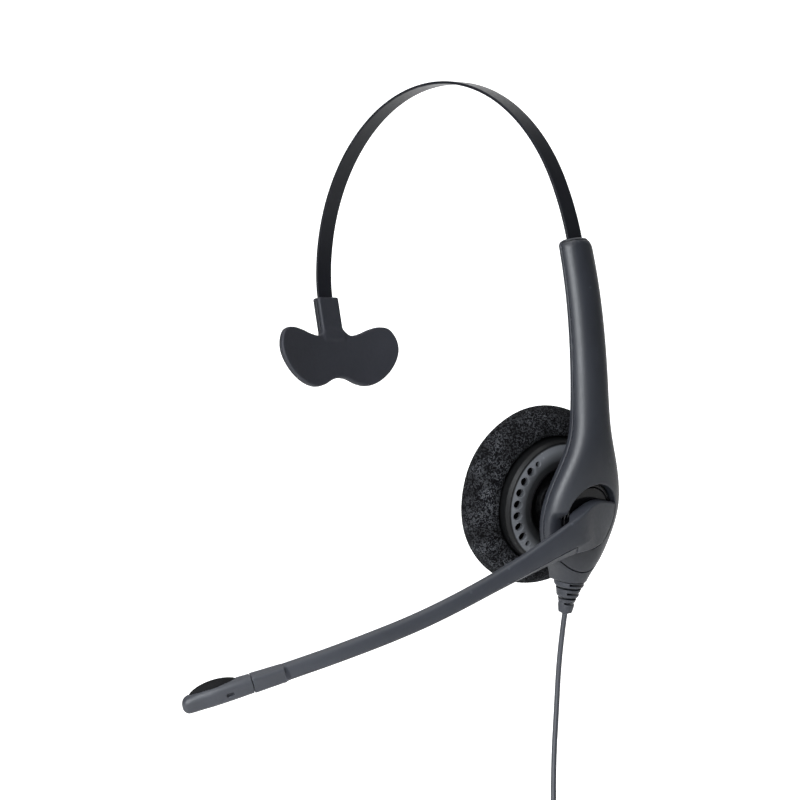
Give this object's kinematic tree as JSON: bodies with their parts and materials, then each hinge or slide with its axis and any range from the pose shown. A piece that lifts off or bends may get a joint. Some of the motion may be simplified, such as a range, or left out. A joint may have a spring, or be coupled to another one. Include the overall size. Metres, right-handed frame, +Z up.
{
  "type": "office headset",
  "caption": "Single-ear wired office headset: flat spring band, temple rest, long side arm, foam ear cushion on a ball joint, swivelling microphone boom and thin cord with a connector.",
  "frame": {"origin": "centre of the wearer's head, on the line through the ears", "axes": "+X toward the ear cup, -Y forward toward the mouth, +Z up"},
  "size_m": [0.14, 0.1633, 0.3397],
  "materials": {
    "shell_black": "fine matte texture",
    "boom_black": "fine matte texture",
    "rotor_black": "gloss",
    "band_black": "semi-gloss coating on a spring band",
    "pad_black": "soft matte",
    "foam_black": "open-cell foam",
    "dish_grey": "satin",
    "grille_black": "fine acoustic mesh",
    "rubber_black": "matte",
    "steel": "plain",
    "spring_steel": "plain",
    "acetal_black": "low-friction moulding",
    "board_green": "solder mask",
    "contact_metal": "plated",
    "cone_film": "thin film",
    "cord_black": "smooth jacket",
    "tie_black": "woven strap"
  },
  "bodies": {
    "arm": {"arm_outer_shell": "shell_black", "arm_inner_shell": "shell_black", "shell_screws": "steel", "ball_stud": "acetal_black", "junction_board": "board_green", "strain_relief": "rubber_black", "cord": "cord_black", "cord_coil": "cord_black", "cord_tail": "cord_black", "cord_tie": "tie_black", "plug_sleeve": "rubber_black", "plug_body": "shell_black", "plug_latch": "boom_black", "plug_contacts": "contact_metal"},
    "headband": {"headband_strip": "band_black", "slider_shoe": "acetal_black", "shoe_rivets": "steel", "temple_pad_cover": "pad_black", "temple_pad_back": "shell_black"},
    "boom": {"boom_rotor": "rotor_black", "pivot_washer": "spring_steel", "pivot_screw": "steel", "boom_outer_half": "boom_black", "boom_inner_half": "boom_black", "mic_sleeve": "boom_black", "mic_housing": "boom_black", "mic_grille": "grille_black", "mic_boot": "rubber_black", "mic_capsule": "steel"},
    "gimbal": {"socket_liner": "acetal_black"},
    "ear_cup": {"speaker_back": "dish_grey", "vent_felt": "grille_black", "cushion_ring": "shell_black", "speaker_baffle": "shell_black", "speaker_frame": "dish_grey", "speaker_magnet": "steel", "speaker_cone": "cone_film", "ear_cushion": "foam_black"}
  },
  "joints": [
    {"name": "headband_size", "type": "hinge", "parent": "arm", "child": "headband", "pos_m": [-0.1142, 0, 0.035], "axis": [0, -1, 0], "range_deg": [0, 10.5]},
    {"name": "boom_swing", "type": "hinge", "parent": "arm", "child": "boom", "pos_m": [0.078, 0, -0.0065], "axis": [0.9845, 0, -0.1754], "range_deg": [-83, 216]},
    {"name": "cup_swivel", "type": "hinge", "parent": "arm", "child": "gimbal", "pos_m": [0.06331, -0.00431, -0.00167], "axis": [0.1745, -0.0172, 0.9845], "range_deg": [0, 5]},
    {"name": "cup_tilt", "type": "hinge", "parent": "gimbal", "child": "ear_cup", "pos_m": [0.06331, -0.00431, -0.00167], "axis": [0.0983, 0.9952, 0], "range_deg": [0, 4]}
  ]
}
